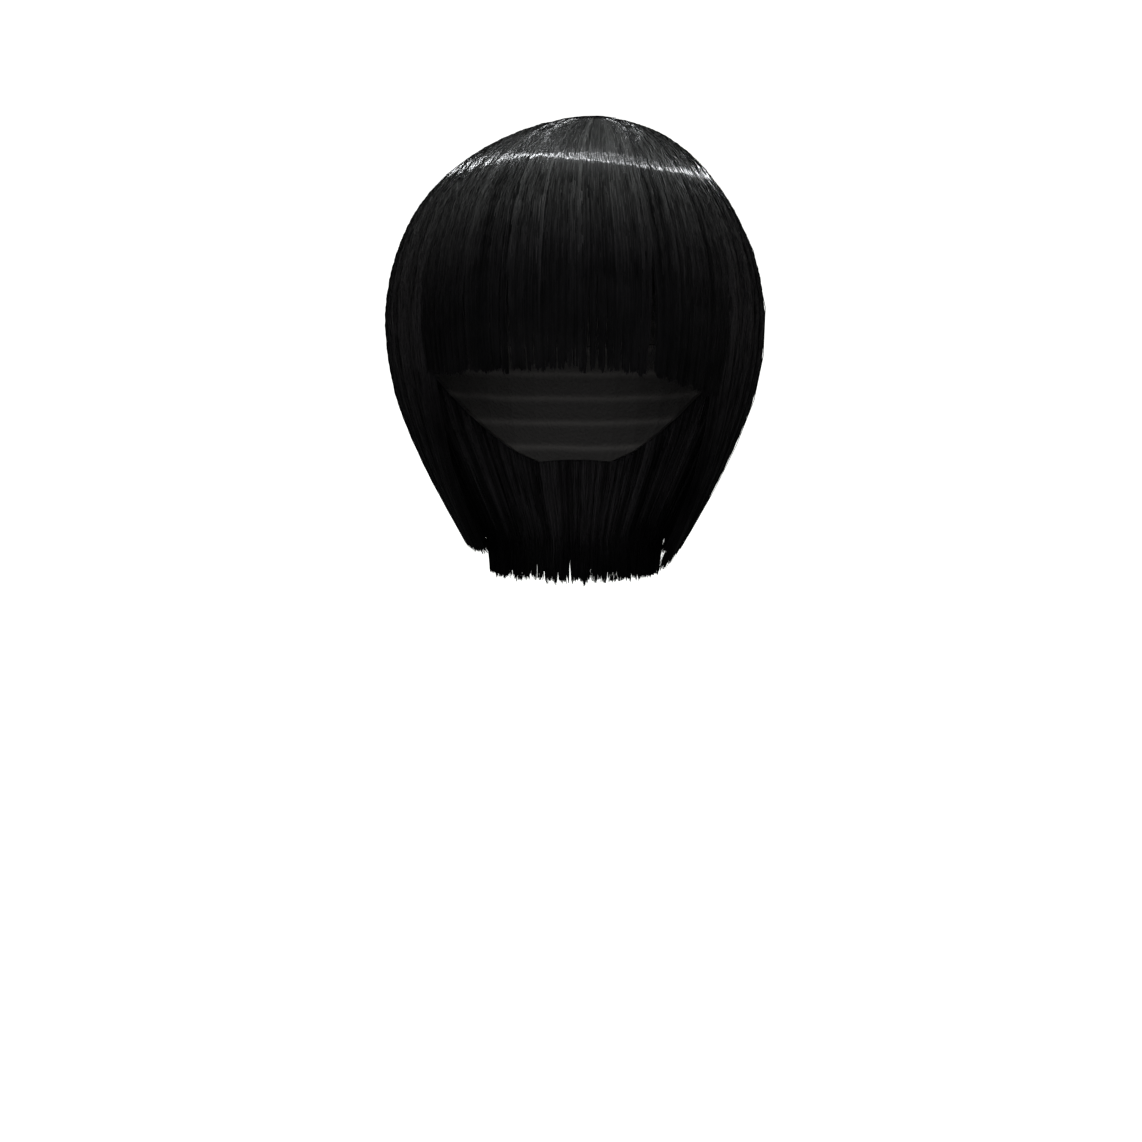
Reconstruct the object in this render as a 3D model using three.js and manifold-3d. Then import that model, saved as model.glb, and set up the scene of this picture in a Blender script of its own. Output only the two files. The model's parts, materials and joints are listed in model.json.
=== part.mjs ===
// A short, straight wig with a blunt fringe, in the shape that it has when it is worn.
// Units are millimetres. +Z is up, the wearer faces -Y, and +X is the wearer's left.
// The origin is the top of the head, where the inside of the cap sits on it.
import * as THREE from "three";
import { mergeVertices } from "three/addons/utils/BufferGeometryUtils.js";
import Module from "manifold-3d";

const wasm = await Module();
wasm.setup();

// Head that the cap fits
const headHalfBreadth = 75;
const headFront = 92;
const headBack = 98;
const crownHeight = 90; // top of the head down to its widest level

// Cap, with how far its rim lies below the top of the head
const capWall = 1.5;
const capHemWall = 2.5;
const capHemDepth = 10;
const capFrontDrop = 62;
const capTempleDrop = 76;
const capEarTabDrop = 114;
const capEarDrop = 99;
const capNapeDrop = 150;
const capTopDrop = 22; // foot of its top panel
const capBackDrop = 92; // seam between its back and nape panels
const capSeam = 0.6; // open seam between two panels

// Thickness of hair over the cap
const hairOnTop = 9.7;
const hairOnSides = 13.5;
const hairOnFront = 11.5;
const hairOnBack = 10.5;

// Lengths of hair, each from the top of the head straight down to a hem
const fringeLength = 117.5;
const sideLength = 197;
const backLength = 186;
const napeLength = 212;

// Wall of hair at each hem, where it hangs free of the cap
const fringeHemWall = 3;
const sideHemWall = 4;
const backHemWall = 5;
const napeHemWall = 4;
const backEdgeLonger = 0.03; // how much longer the back hair is at its two edges, as a share

// Whorl at the crown, where the locks start
const whorlX = 9.5;
const whorlY = 18;
const whorlRadius = 16;
const whorlRidge = 0.8;
const whorlTwist = 70; // degrees that its locks turn by on their way out

// Locks and the slits between them
const grooveDepth = 1.6;
const lockTip = 2.2; // how far the middle of a lock hangs below its sides
const cutWander = 2.4; // how unevenly the locks are cut
const slitWidth = 2.2;
const slitReach = 22; // height of a common slit above its hem

// Clearances
const seatGap = 1; // between the cap and the hair sewn to it
const pieceGap = 0.8; // between neighbouring tresses

// Angles round the head, in degrees from the middle of the forehead
const templeAngle = 50; // fringe to side hair
const nearBackAngle = 118; // side hair to back hair
const cheekSweep = 19; // how far the edge of the side hair leans back below the fringe
const capTempleAngle = 44; // front panel of the cap to its side panel
const capBackAngle = 124; // side panel of the cap to its back panel

// Numbers of locks, and of the mesh's rows and columns
const fringeLocks = 12;
const sideLocks = 7;
const backLocks = 12;
const napeLocks = 8;
const columnsInLock = 3;
const fringeRows = 11;
const sideRows = 15;
const backRows = 14;
const napeRows = 6;
const slitRows = 4;
const whorlRows = 3;
const whorlColumns = 20;
const capColumnAngle = 10; // degrees round the head between two columns of the cap

const squareness = 2.1; // 2 makes true ellipses in plan, and more makes them squarer
const crownTaper = 1.08; // 1 makes the crown a true dome, and more makes it more pointed
const whorlFade = 0.7; // level at which the hair no longer leans to the whorl
const thinning = 0.3; // levels over which hair thins where it leaves the cap
const cheekRun = 0.78; // levels over which the edge of the side hair leans back
const napeRelease = 0.15; // levels over which the nape swings out below the back hair
const goldenShare = 0.618;

// Half sections of the worn hair below the widest level. Drop is a share of the way down to the nape, and
// the rest are shares of the widest section.
const hairSkirt = [
  { drop: 0.0, width: 1.0, front: 1.0, back: 1.0 },
  { drop: 0.1, width: 0.99, front: 0.998, back: 0.995 },
  { drop: 0.2, width: 0.97, front: 0.985, back: 0.975 },
  { drop: 0.3, width: 0.937, front: 0.955, back: 0.94 },
  { drop: 0.4, width: 0.886, front: 0.9, back: 0.895 },
  { drop: 0.5, width: 0.826, front: 0.84, back: 0.84 },
  { drop: 0.6, width: 0.761, front: 0.77, back: 0.78 },
  { drop: 0.7, width: 0.689, front: 0.69, back: 0.717 },
  { drop: 0.8, width: 0.612, front: 0.61, back: 0.655 },
  { drop: 0.9, width: 0.54, front: 0.53, back: 0.6 },
  { drop: 1.0, width: 0.475, front: 0.45, back: 0.56 },
];

// The same for the head under it
const headSkirt = [
  { drop: 0.0, width: 1.0, front: 1.0, back: 1.0 },
  { drop: 0.1, width: 0.995, front: 0.995, back: 0.985 },
  { drop: 0.2, width: 0.98, front: 0.98, back: 0.96 },
  { drop: 0.3, width: 0.955, front: 0.95, back: 0.92 },
  { drop: 0.4, width: 0.915, front: 0.9, back: 0.87 },
  { drop: 0.5, width: 0.865, front: 0.85, back: 0.81 },
  { drop: 0.6, width: 0.8, front: 0.79, back: 0.745 },
  { drop: 0.8, width: 0.66, front: 0.68, back: 0.63 },
  { drop: 1.0, width: 0.54, front: 0.57, back: 0.545 },
];

// Rim of the cap by angle from the forehead
const capRim = [
  { angle: 0, drop: capFrontDrop },
  { angle: 24, drop: capFrontDrop },
  { angle: 48, drop: capTempleDrop },
  { angle: 68, drop: capEarTabDrop },
  { angle: 90, drop: capEarDrop },
  { angle: 118, drop: capEarTabDrop },
  { angle: 160, drop: capNapeDrop },
  { angle: 180, drop: capNapeDrop },
];

// Hem of the fringe, from the wearer's right temple to the left one. Longer is a share of its length.
const fringeHem = [
  { across: 0.0, longer: 0.0 },
  { across: 0.3, longer: 0.006 },
  { across: 0.5, longer: 0.0 },
  { across: 0.7, longer: 0.018 },
  { across: 0.88, longer: 0.062 },
  { across: 1.0, longer: 0.088 },
];

// Hem of the side hair, from the cheek to the back
const sideHem = [
  { across: 0.0, longer: 0.0 },
  { across: 0.25, longer: -0.012 },
  { across: 0.6, longer: -0.015 },
  { across: 1.0, longer: 0.0 },
];

// Hems of the back hair and of the nape, from one side to the other
const backHem = [
  { across: 0.0, longer: backEdgeLonger },
  { across: 0.5, longer: 0.0 },
  { across: 1.0, longer: backEdgeLonger },
];
const napeHem = [
  { across: 0.0, longer: -0.02 },
  { across: 0.5, longer: 0.0 },
  { across: 1.0, longer: -0.02 },
];

// Slits in the fringe. Lock is the one before the slit, reach a share of the fringe's length and width a
// share of the common slit's.
const fringeSlits = [
  { lock: 2, reach: 0.42, width: 1.1 },
  { lock: 4, reach: 0.5, width: 0.7 },
  { lock: 6, reach: 0.12, width: 0.6 },
  { lock: 7, reach: 0.4, width: 1.0 },
  { lock: 8, reach: 0.2, width: 0.7 },
  { lock: 9, reach: 0.48, width: 1.6 },
  { lock: 11, reach: 0.12, width: 0.8 },
];

const skirtDrop = napeLength - crownHeight;
const lerp = THREE.MathUtils.lerp;
const radians = THREE.MathUtils.degToRad;
const smooth = (t) => THREE.MathUtils.smoothstep(t, 0, 1);
const ragged = (i) => (i * goldenShare) % 1;

// A column of a table at any place along its key, on a smooth curve through the rows and straight beyond.
function readTable(table, key, column, at) {
  const last = table.length - 1;
  let i = 0;
  while (i < last - 1 && at > table[i + 1][key]) i += 1;
  const [a, b] = [table[i], table[i + 1]];
  const span = b[key] - a[key];
  const t = (at - a[key]) / span;
  if (t < 0 || t > 1) return lerp(a[column], b[column], t);
  const before = table[Math.max(i - 1, 0)];
  const after = table[Math.min(i + 2, last)];
  const slopeA = ((b[column] - before[column]) / (b[key] - before[key])) * span;
  const slopeB = ((after[column] - a[column]) / (after[key] - a[key])) * span;
  const rise = b[column] - a[column];
  return (
    a[column] + t * (slopeA + t * (3 * rise - 2 * slopeA - slopeB + t * (slopeA + slopeB - 2 * rise)))
  );
}

// Levels run from 0 at the crown through 1 at the widest section to 2 at the nape.
function levelOfDrop(drop) {
  if (drop > crownHeight) return 1 + (drop - crownHeight) / skirtDrop;
  return Math.acos(1 - drop / crownHeight) / (Math.PI / 2);
}

// Half an axis of a section, negative in towards the other side.
const power = (value) => Math.sign(value) * Math.abs(value) ** (2 / squareness);

// The half axes of a closed surface at a level, grown outwards by a thickness, and its height at the crown
function sectionAt(half, front, back, top, skirt, level, thickness) {
  const round = level < 1 ? Math.sin((level * Math.PI) / 2) ** crownTaper : 1;
  const drop = Math.max(level - 1, 0);
  const axis = (size, column) =>
    level < 1 ? (size + thickness) * round : size * readTable(skirt, "drop", column, drop) + thickness;
  return {
    half: axis(half, "width"),
    front: axis(front, "front"),
    back: axis(back, "back"),
    top: top + thickness,
  };
}

function onSection(section, angle) {
  const forward = Math.cos(angle);
  const depth = forward > 0 ? section.front : section.back;
  return [section.half * power(Math.sin(angle)), -depth * power(forward)];
}

// A dome of that height over the widest level, or the straight way down below it.
function heightAt(top, level) {
  if (level > 1) return -crownHeight - (level - 1) * skirtDrop;
  return top - (top + crownHeight) * (1 - Math.cos((level * Math.PI) / 2));
}

const leanAt = (level) => 1 - smooth(level / whorlFade);

// The outside of the worn hair, or a surface that far inside it.
function hairPoint(angle, level, inset = 0) {
  const section = sectionAt(
    headHalfBreadth + capWall + hairOnSides,
    headFront + capWall + hairOnFront,
    headBack + capWall + hairOnBack,
    capWall + hairOnTop,
    hairSkirt,
    level,
    -inset,
  );
  const [x, y] = onSection(section, angle);
  const lean = leanAt(level);
  return new THREE.Vector3(x + whorlX * lean, y + whorlY * lean, heightAt(section.top, level));
}

// The head, or a surface that far outside it. Hair that is sewn on it leans to the whorl in plan.
function headPoint(angle, level, thickness, lean = 0) {
  const section = sectionAt(headHalfBreadth, headFront, headBack, 0, headSkirt, level, thickness);
  let [x, y] = onSection(section, angle);
  if (level >= 1) return new THREE.Vector3(x, y, heightAt(section.top, level));
  x += whorlX * lean;
  y += whorlY * lean;
  const depth = (y < 0 ? headFront : headBack) + thickness;
  const across = Math.abs(x / (headHalfBreadth + thickness)) ** squareness;
  const along = Math.abs(y / depth) ** squareness;
  const out = Math.min((across + along) ** (1 / squareness), 1);
  const rise = 1 - Math.sqrt(1 - out * out);
  return new THREE.Vector3(x, y, section.top - (section.top + crownHeight) * rise);
}

function capRimLevel(angle) {
  const turn = Math.abs(THREE.MathUtils.radToDeg(Math.atan2(Math.sin(angle), Math.cos(angle))));
  return levelOfDrop(readTable(capRim, "angle", "drop", turn));
}

// A closed wall between two grids of points, with the columns round the head and the rows down it.
function wallGeometry(columns, rows, outerAt, innerAt, wraps = false) {
  const across = columns + 1;
  const positions = [];
  for (const pointAt of [outerAt, innerAt]) {
    for (let row = 0; row <= rows; row += 1) {
      for (let column = 0; column <= columns; column += 1) {
        positions.push(...pointAt(wraps ? column % columns : column, row).toArray());
      }
    }
  }
  const outer = (column, row) => row * across + column;
  const inner = (column, row) => (rows + 1 + row) * across + column;
  const index = [];
  const quad = (a, b, c, d) => index.push(a, b, c, a, c, d);
  for (let column = 0; column < columns; column += 1) {
    const next = column + 1;
    for (let row = 0; row < rows; row += 1) {
      const below = row + 1;
      quad(outer(column, row), outer(column, below), outer(next, below), outer(next, row));
      quad(inner(column, row), inner(next, row), inner(next, below), inner(column, below));
    }
    quad(outer(column, 0), outer(next, 0), inner(next, 0), inner(column, 0));
    quad(outer(column, rows), inner(column, rows), inner(next, rows), outer(next, rows));
  }
  for (let row = 0; row < rows && !wraps; row += 1) {
    const below = row + 1;
    quad(outer(0, row), inner(0, row), inner(0, below), outer(0, below));
    quad(outer(columns, row), outer(columns, below), inner(columns, below), inner(columns, row));
  }
  const geometry = new THREE.BufferGeometry();
  geometry.setAttribute("position", new THREE.Float32BufferAttribute(positions, 3));
  geometry.setIndex(index);
  return geometry;
}

// Merges shared corners and drops the triangles that close up at a crown or at the point of a slit.
function solidOf(geometry) {
  const merged = mergeVertices(geometry, 1e-4);
  const found = merged.index.array;
  const kept = [];
  for (let i = 0; i < found.length; i += 3) {
    const [a, b, c] = found.slice(i, i + 3);
    if (a !== b && b !== c && c !== a) kept.push(a, b, c);
  }
  return new wasm.Manifold(
    new wasm.Mesh({
      numProp: 3,
      vertProperties: merged.attributes.position.array,
      triVerts: new Uint32Array(kept),
    }),
  );
}

function geometryOf(solid) {
  const { vertProperties, triVerts } = solid.getMesh();
  const geometry = new THREE.BufferGeometry();
  geometry.setAttribute("position", new THREE.BufferAttribute(vertProperties, 3));
  geometry.setIndex(new THREE.BufferAttribute(triVerts, 1));
  geometry.computeVertexNormals();
  return geometry;
}

// A tress is a wall of locks. Across runs from 0 to 1 between its two edges.
class Tress {
  constructor(shape) {
    Object.assign(this, { outerInset: () => 0, thinsFrom: capRimLevel, seat: sewn }, shape);
    this.columns = this.locks * columnsInLock;
  }

  angleAt(across, level) {
    const radius = (headHalfBreadth + hairOnSides) * Math.sin((Math.min(level, 1) * Math.PI) / 2);
    const gap = pieceGap / 2 / radius;
    return lerp(radians(this.from(level)) + gap, radians(this.to(level)) - gap, across);
  }

  hemLevel(across) {
    return levelOfDrop(this.length * (1 + readTable(this.hem, "across", "longer", across)));
  }

  levelAt(column, row) {
    const across = column / this.columns;
    const onSeam = column % columnsInLock === 0;
    const tip = onSeam ? -lockTip : cutWander * (ragged(column) - 0.5);
    const hem = this.hemLevel(across) + tip / skirtDrop;
    return lerp(this.root(this.angleAt(across, 1)), hem, row / this.rows);
  }

  outer(column, row) {
    const level = this.levelAt(column, row);
    const across = column / this.columns;
    const groove = column % columnsInLock === 0 ? grooveDepth * smooth(level) : 0;
    return hairPoint(this.angleAt(across, level), level, this.outerInset(level) + groove);
  }

  // Seated on the cap above its rim, and hanging free with a thinner wall below it.
  inner(column, row) {
    const level = this.levelAt(column, row);
    const across = column / this.columns;
    const angle = this.angleAt(across, level);
    const seated = headPoint(angle, level, this.seat, leanAt(level));
    const free = hairPoint(angle, level, this.outerInset(level) + grooveDepth / 2 + this.hemWall);
    return seated.lerp(free, smooth((level - this.thinsFrom(angle)) / thinning));
  }

  // A wedge that parts two locks from the hem upwards.
  slit({ lock, reach, width }) {
    const across = lock / this.locks;
    const hem = this.hemLevel(across);
    const halfWidth = width / 2;
    const pointAt = (inset) => (column, row) => {
      const level = hem + lerp(-reach, lockTip * 3, row / slitRows) / skirtDrop;
      const section = sectionAt(headHalfBreadth, headFront, headBack, 0, hairSkirt, level, hairOnSides);
      const turn = ((column - 0.5) * 2 * halfWidth * (row / slitRows)) / section.half;
      return hairPoint(this.angleAt(across, level) + turn, level, inset);
    };
    return solidOf(wallGeometry(1, slitRows, pointAt(-grooveDepth), pointAt(this.deepest)));
  }

  solid() {
    const wall = wallGeometry(
      this.columns,
      this.rows,
      (column, row) => this.outer(column, row),
      (column, row) => this.inner(column, row),
    );
    return this.slits.reduce((body, slit) => body.subtract(this.slit(slit)), solidOf(wall));
  }
}

// Slits between every second pair of locks, of uneven height
function commonSlits(locks) {
  const slits = [];
  for (let lock = 1; lock < locks; lock += 2) {
    slits.push({ lock, reach: slitReach * (0.5 + ragged(lock)), width: slitWidth });
  }
  return slits;
}

const sewn = capWall + seatGap;
const whorlLevel = Math.asin(whorlRadius / (headHalfBreadth + capWall + hairOnSides)) / (Math.PI / 2);
const whorlGap = pieceGap / (headHalfBreadth + hairOnSides) / Math.PI;
const fringeLevel = levelOfDrop(fringeLength);
const backLevel = levelOfDrop(backLength * (1 + backEdgeLonger) + lockTip + cutWander);
const crownRoot = () => whorlLevel + whorlGap;

function fringe() {
  return new Tress({
    locks: fringeLocks,
    rows: fringeRows,
    length: fringeLength,
    hem: fringeHem,
    hemWall: fringeHemWall,
    deepest: hairOnFront,
    from: () => -templeAngle,
    to: () => templeAngle,
    root: crownRoot,
    slits: fringeSlits.map(({ lock, reach, width }) => ({
      lock,
      reach: reach * fringeLength,
      width: width * slitWidth,
    })),
  }).solid();
}

// The hair over one ear. Its front edge leans back below the fringe.
function sideHair(onLeft) {
  const sweep = (level) => cheekSweep * smooth((level - fringeLevel) / cheekRun);
  const front = (level) => templeAngle + sweep(level);
  const back = () => nearBackAngle;
  const turned = (edge) => (level) => 360 - edge(level);
  const shape = {
    locks: sideLocks,
    rows: sideRows,
    length: sideLength,
    hem: sideHem,
    hemWall: sideHemWall,
    deepest: hairOnSides,
    from: front,
    to: back,
    root: crownRoot,
    slits: commonSlits(sideLocks),
  };
  if (onLeft) return new Tress(shape).solid();
  return new Tress({
    ...shape,
    hem: sideHem.map(({ across, longer }) => ({ across: 1 - across, longer })).reverse(),
    from: turned(back),
    to: turned(front),
    slits: shape.slits.map((slit) => ({ ...slit, lock: sideLocks - slit.lock })),
  }).solid();
}

function backHair() {
  return new Tress({
    locks: backLocks,
    rows: backRows,
    length: backLength,
    hem: backHem,
    hemWall: backHemWall,
    deepest: hairOnBack,
    from: () => nearBackAngle,
    to: () => 360 - nearBackAngle,
    root: crownRoot,
    thinsFrom: (angle) => capRimLevel(angle) - thinning - seatGap / skirtDrop,
    slits: commonSlits(backLocks),
  }).solid();
}

// The lowest tress hangs from the rim of the cap, under the back hair and out beyond its hem.
function napeHair() {
  const under = backHemWall + grooveDepth / 2 + seatGap;
  const relaxed = (level) => smooth((level - backLevel) / napeRelease);
  return new Tress({
    locks: napeLocks,
    rows: napeRows,
    length: napeLength,
    hem: napeHem,
    hemWall: napeHemWall,
    seat: capWall,
    deepest: hairOnBack,
    from: () => nearBackAngle,
    to: () => 360 - nearBackAngle,
    root: (angle) => capRimLevel(angle) + seatGap / skirtDrop,
    outerInset: (level) => lerp(under, under / 3, relaxed(level)),
    slits: commonSlits(napeLocks),
  }).solid();
}

function crownWhorl() {
  const angleOf = (column, row) =>
    (column / whorlColumns) * Math.PI * 2 + radians(whorlTwist) * (1 - row / whorlRows);
  const levelOf = (row) => ((whorlLevel - whorlGap) * row) / whorlRows;
  const groove = (column, row) => (column % 2) * whorlRidge * (row / whorlRows);
  const outer = (column, row) => hairPoint(angleOf(column, row), levelOf(row), groove(column, row));
  const inner = (column, row) =>
    headPoint(angleOf(column, row), levelOf(row), sewn, leanAt(levelOf(row)));
  return solidOf(wallGeometry(whorlColumns, whorlRows, outer, inner, true));
}

// Panels of the stretch cap. From and to are angles from the forehead, and top and foot are drops below the
// top of the head. A panel without a foot ends at the rim.
const farBackAngle = 360 - capBackAngle;
const farTempleAngle = 360 - capTempleAngle;
const capPanels = [
  { name: "cap_top", from: 0, to: 360, top: 0, foot: capTopDrop, rows: 4 },
  { name: "cap_front", from: -capTempleAngle, to: capTempleAngle, top: capTopDrop, rows: 5 },
  { name: "cap_side_left", from: capTempleAngle, to: capBackAngle, top: capTopDrop, rows: 8 },
  { name: "cap_side_right", from: farBackAngle, to: farTempleAngle, top: capTopDrop, rows: 8 },
  { name: "cap_back", from: capBackAngle, to: farBackAngle, top: capTopDrop, foot: capBackDrop, rows: 6 },
  { name: "cap_nape", from: capBackAngle, to: farBackAngle, top: capBackDrop, rows: 5 },
];

// One panel, with a thicker hem turned in where it meets the rim
function capPanel({ from, to, top, foot, rows }) {
  const wraps = to - from === 360;
  const columns = Math.round((to - from) / capColumnAngle);
  const seam = capSeam / 2 / (crownHeight * (Math.PI / 2));
  const angleOf = (column, level) => {
    const radius = headHalfBreadth * Math.sin((Math.min(level, 1) * Math.PI) / 2);
    const gap = wraps ? 0 : capSeam / 2 / radius;
    return lerp(radians(from) + gap, radians(to) - gap, column / columns);
  };
  const levelOf = (column, row) => {
    const start = top > 0 ? levelOfDrop(top) + seam : 0;
    const end = foot ? levelOfDrop(foot) - seam : capRimLevel(angleOf(column, 1));
    return lerp(start, end, row / rows);
  };
  const surface = (thicknessAt) => (column, row) => {
    const level = levelOf(column, row);
    const angle = angleOf(column, level);
    const aboveRim = (capRimLevel(angleOf(column, 1)) - level) * skirtDrop;
    return headPoint(angle, level, thicknessAt(aboveRim));
  };
  const outer = surface(() => capWall);
  const turnIn = capHemWall - capWall;
  const inner = surface((aboveRim) => -turnIn * smooth((2 * capHemDepth - aboveRim) / capHemDepth));
  return solidOf(wallGeometry(columns, rows, outer, inner, wraps));
}

const hairFinish = new THREE.MeshStandardMaterial({ color: 0x0b0b0d, roughness: 0.3, metalness: 0 });
const capFinish = new THREE.MeshStandardMaterial({ color: 0x151517, roughness: 0.85, metalness: 0 });

function mesh(name, solid, finish) {
  const made = new THREE.Mesh(geometryOf(solid), finish);
  made.name = name;
  return made;
}

const wig = new THREE.Group();
wig.add(
  ...capPanels.map((panel) => mesh(panel.name, capPanel(panel), capFinish)),
  mesh("crown_whorl", crownWhorl(), hairFinish),
  mesh("fringe", fringe(), hairFinish),
  mesh("side_hair_left", sideHair(true), hairFinish),
  mesh("side_hair_right", sideHair(false), hairFinish),
  mesh("back_hair", backHair(), hairFinish),
  mesh("nape_hair", napeHair(), hairFinish),
);

export default wig;
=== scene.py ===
"""The looks of a short straight wig with a blunt fringe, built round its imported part.

Sizes of the wig are in millimetres, and those of the studio, its lights and all meshes are in metres. The
wearer faces -Y and +X is the wearer's left. A level runs from 0 at the crown through 1 at the widest section
to 2 at the nape.
"""

import json
import logging
import math
from dataclasses import dataclass, field
from enum import Enum

import bpy
import numpy as np
from mathutils import Matrix

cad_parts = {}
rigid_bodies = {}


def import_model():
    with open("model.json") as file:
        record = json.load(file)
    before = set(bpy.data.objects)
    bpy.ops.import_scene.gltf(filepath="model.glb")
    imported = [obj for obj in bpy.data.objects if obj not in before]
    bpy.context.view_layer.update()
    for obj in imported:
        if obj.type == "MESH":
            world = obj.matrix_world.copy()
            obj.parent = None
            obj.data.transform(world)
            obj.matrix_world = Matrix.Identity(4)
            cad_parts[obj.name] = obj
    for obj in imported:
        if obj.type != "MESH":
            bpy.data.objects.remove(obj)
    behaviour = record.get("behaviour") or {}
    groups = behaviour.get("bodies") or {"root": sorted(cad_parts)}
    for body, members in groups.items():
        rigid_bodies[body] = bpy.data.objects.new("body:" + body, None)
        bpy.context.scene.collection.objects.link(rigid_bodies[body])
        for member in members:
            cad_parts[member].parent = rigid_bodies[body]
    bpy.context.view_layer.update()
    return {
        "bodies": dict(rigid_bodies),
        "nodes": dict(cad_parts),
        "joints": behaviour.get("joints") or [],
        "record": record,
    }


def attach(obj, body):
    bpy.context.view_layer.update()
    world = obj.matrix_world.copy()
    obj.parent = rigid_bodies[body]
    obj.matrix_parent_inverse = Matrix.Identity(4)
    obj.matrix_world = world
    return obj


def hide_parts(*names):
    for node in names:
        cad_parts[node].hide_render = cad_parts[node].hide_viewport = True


METRE = 1000.0
SMALL_TURN = 0.01
LOG = logging.getLogger("wig")
Array = np.ndarray
Pair = tuple[float, float]
Triple = tuple[float, float, float]


def smooth(t: Array) -> Array:
    """Ease from 0 to 1 as t does."""
    t = np.clip(t, 0.0, 1.0)
    return t * t * (3.0 - 2.0 * t)


def unit(vectors: Array) -> Array:
    """Scale vectors on the last axis to length 1."""
    return vectors / np.maximum(np.linalg.norm(vectors, axis=-1, keepdims=True), 1e-9)


@dataclass(frozen=True)
class Table:
    """A short table that is read along a smooth curve through its rows."""

    columns: tuple[str, ...]
    rows: tuple[tuple[float, ...], ...]

    def read(self, column: str, at: Array) -> Array:
        """Read one column at any place along the first one.

        Args:
            column: Name of the column to read.
            at: Places along the first column.

        Returns:
            The values there, on a straight line beyond the last rows.
        """
        grid = np.array(self.rows, float)
        key, value = grid[:, 0], grid[:, self.columns.index(column)]
        at = np.asarray(at, float)
        last = len(key) - 1
        i = np.searchsorted(key[1:-1], at, side="left")
        before, after = np.maximum(i - 1, 0), np.minimum(i + 2, last)
        span = key[i + 1] - key[i]
        rise = value[i + 1] - value[i]
        t = (at - key[i]) / span
        slope_a = (value[i + 1] - value[before]) / (key[i + 1] - key[before]) * span
        slope_b = (value[after] - value[i]) / (key[after] - key[i]) * span
        bend = t * (3 * rise - 2 * slope_a - slope_b + t * (slope_a + slope_b - 2 * rise))
        curve = value[i] + t * (slope_a + bend)
        return np.where((t < 0) | (t > 1), value[i] + t * rise, curve)


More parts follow.
